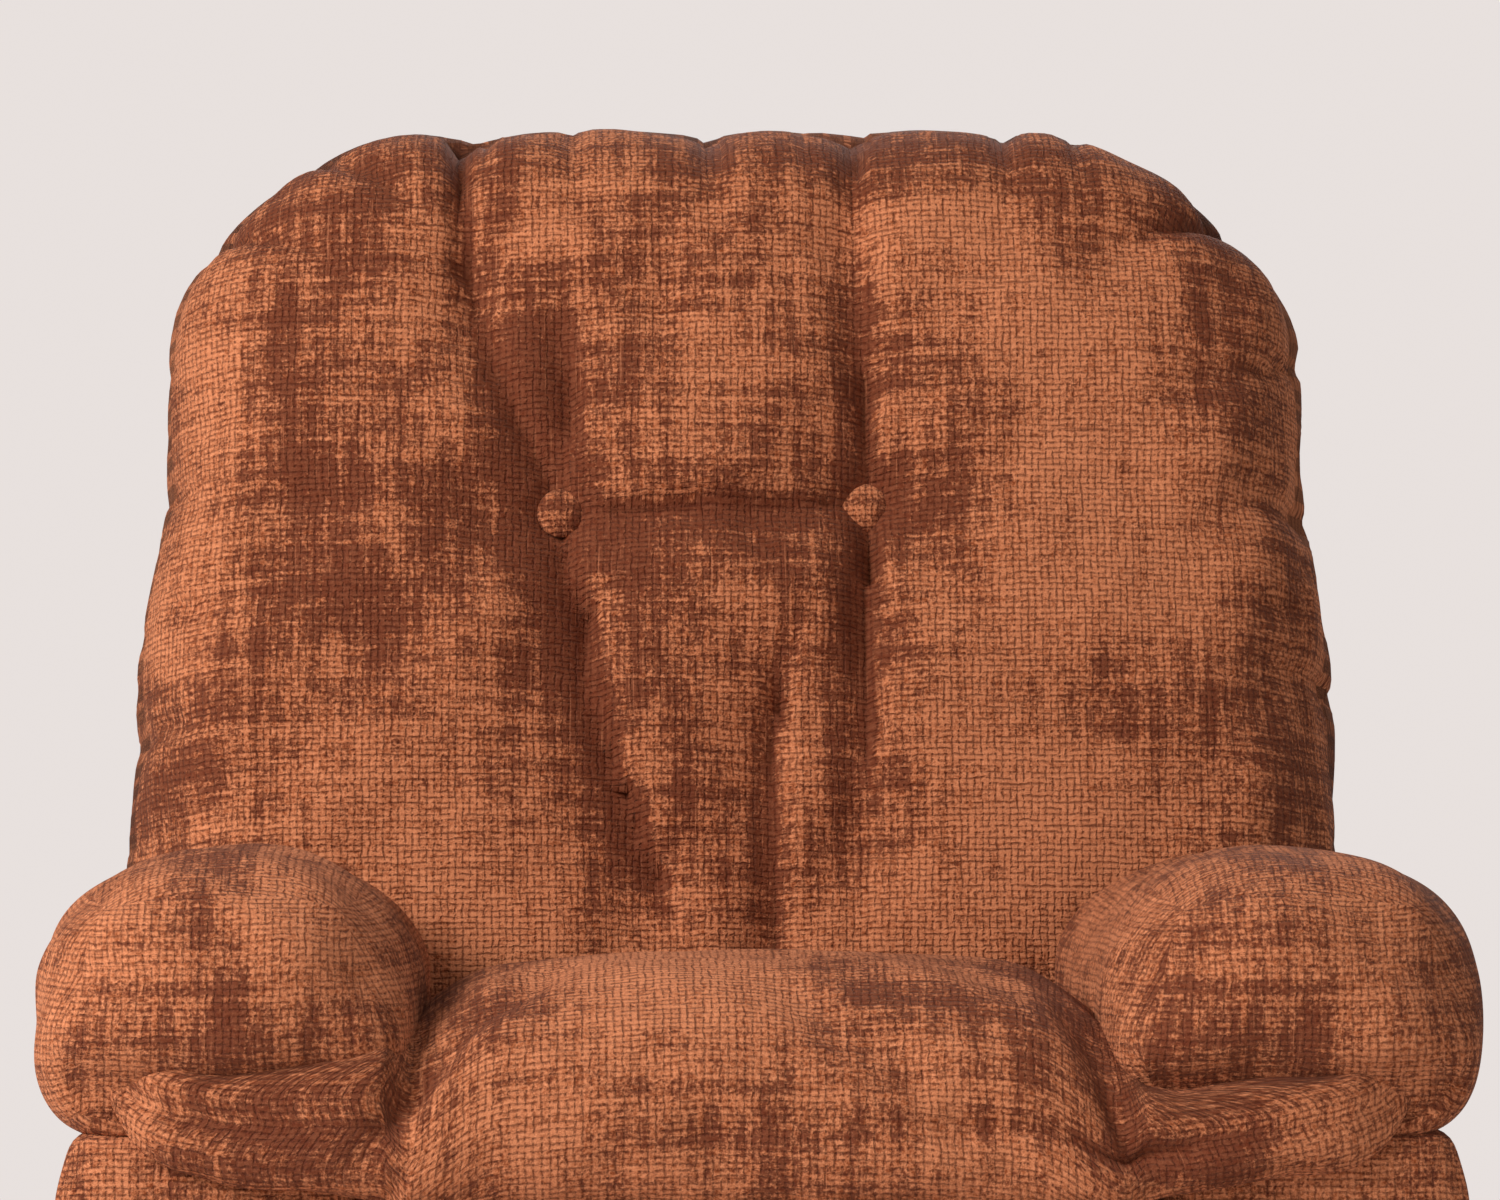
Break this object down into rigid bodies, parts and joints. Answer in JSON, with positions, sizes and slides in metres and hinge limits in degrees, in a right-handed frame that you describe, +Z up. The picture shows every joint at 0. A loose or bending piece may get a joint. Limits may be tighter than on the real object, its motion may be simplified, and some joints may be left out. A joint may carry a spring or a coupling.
{
  "type": "recliner armchair",
  "caption": "Pillow-arm recliner armchair in rust chenille, with a tufted reclining back, a scissor footrest and a side lever.",
  "frame": {"origin": "on the floor under the middle of the chair's box", "axes": "+Z up, the front faces -Y, +X is the viewer's right (the seated person's left)"},
  "size_m": [0.93, 0.9299, 1.09],
  "materials": {
    "chenille": "matte",
    "hardwood": "matte",
    "plywood": "matte",
    "lever_wood": "satin",
    "black_steel": "satin",
    "zinc_steel": "satin",
    "black_plastic": "matte",
    "deck_felt": "matte"
  },
  "bodies": {
    "chassis": {"base_rail_left": "hardwood", "base_rail_right": "hardwood", "base_cross_front": "hardwood", "base_cross_rear": "hardwood", "feet": "black_plastic", "frame_bolts": "zinc_steel", "mech_plate_left": "black_steel", "mech_plate_right": "black_steel", "seat_rail_left": "hardwood", "seat_rail_right": "hardwood", "seat_rail_front": "hardwood", "seat_rail_rear": "hardwood", "seat_springs": "zinc_steel", "spring_clips": "black_plastic", "seat_deck": "deck_felt", "seat_cushion": "chenille", "rear_apron": "chenille", "arm_inner_left": "plywood", "arm_inner_right": "plywood", "arm_panel_left": "plywood", "arm_panel_right": "plywood", "arm_board_left": "hardwood", "arm_board_right": "hardwood", "arm_cover_left": "chenille", "arm_cover_right": "chenille", "arm_pillow_left": "chenille", "arm_pillow_right": "chenille", "lever_bezel": "black_plastic"},
    "lift": {"lift_link_left": "black_steel", "lift_link_right": "black_steel", "lift_pins": "zinc_steel", "drive_shaft": "zinc_steel", "lever_handle": "lever_wood"},
    "cross": {"cross_link_left": "black_steel", "cross_link_right": "black_steel", "cross_pins": "zinc_steel"},
    "front": {"front_link_left": "black_steel", "front_link_right": "black_steel", "front_pins": "zinc_steel"},
    "carry": {"carry_link_left": "black_steel", "carry_link_right": "black_steel", "carry_pins": "zinc_steel"},
    "footrest": {"footrest_bracket_left": "black_steel", "footrest_bracket_right": "black_steel", "footrest_board": "plywood", "footrest_pad": "chenille", "footrest_screws": "zinc_steel"},
    "back": {"back_post_left": "hardwood", "back_post_right": "hardwood", "back_rail_top": "hardwood", "back_rail_bottom": "hardwood", "back_webbing": "deck_felt", "back_cushion": "chenille", "back_cover": "chenille", "tuft_buttons": "chenille", "hinge_bracket_left": "black_steel", "hinge_bracket_right": "black_steel", "hinge_pins": "zinc_steel"}
  },
  "joints": [
    {"name": "footrest_open", "type": "hinge", "parent": "chassis", "child": "lift", "pos_m": [0, -0.25035, 0.29587], "axis": [-1, 0, 0], "range_deg": [0, 53]},
    {"name": "cross_turn", "type": "hinge", "parent": "lift", "child": "cross", "pos_m": [0, -0.29138, 0.19922], "axis": [-1, 0, 0], "range_deg": [-106, 0]},
    {"name": "front_turn", "type": "hinge", "parent": "lift", "child": "front", "pos_m": [0, -0.33241, 0.10256], "axis": [-1, 0, 0], "range_deg": [-106, 0]},
    {"name": "carry_turn", "type": "hinge", "parent": "front", "child": "carry", "pos_m": [0, -0.3452, 0.20678], "axis": [-1, 0, 0], "range_deg": [0, 106]},
    {"name": "footrest_turn", "type": "hinge", "parent": "front", "child": "footrest", "pos_m": [0, -0.358, 0.311], "axis": [-1, 0, 0], "range_deg": [0, 143]},
    {"name": "recline", "type": "hinge", "parent": "chassis", "child": "back", "pos_m": [0, 0.262, 0.31987], "axis": [-1, 0, 0], "range_deg": [0, 42]}
  ],
  "couplings": [
    {"joint": "cross_turn", "follows": "footrest_open", "ratio": -2},
    {"joint": "front_turn", "follows": "footrest_open", "ratio": -2},
    {"joint": "carry_turn", "follows": "footrest_open", "ratio": 2},
    {"joint": "footrest_turn", "follows": "footrest_open", "ratio": 2.6981}
  ]
}
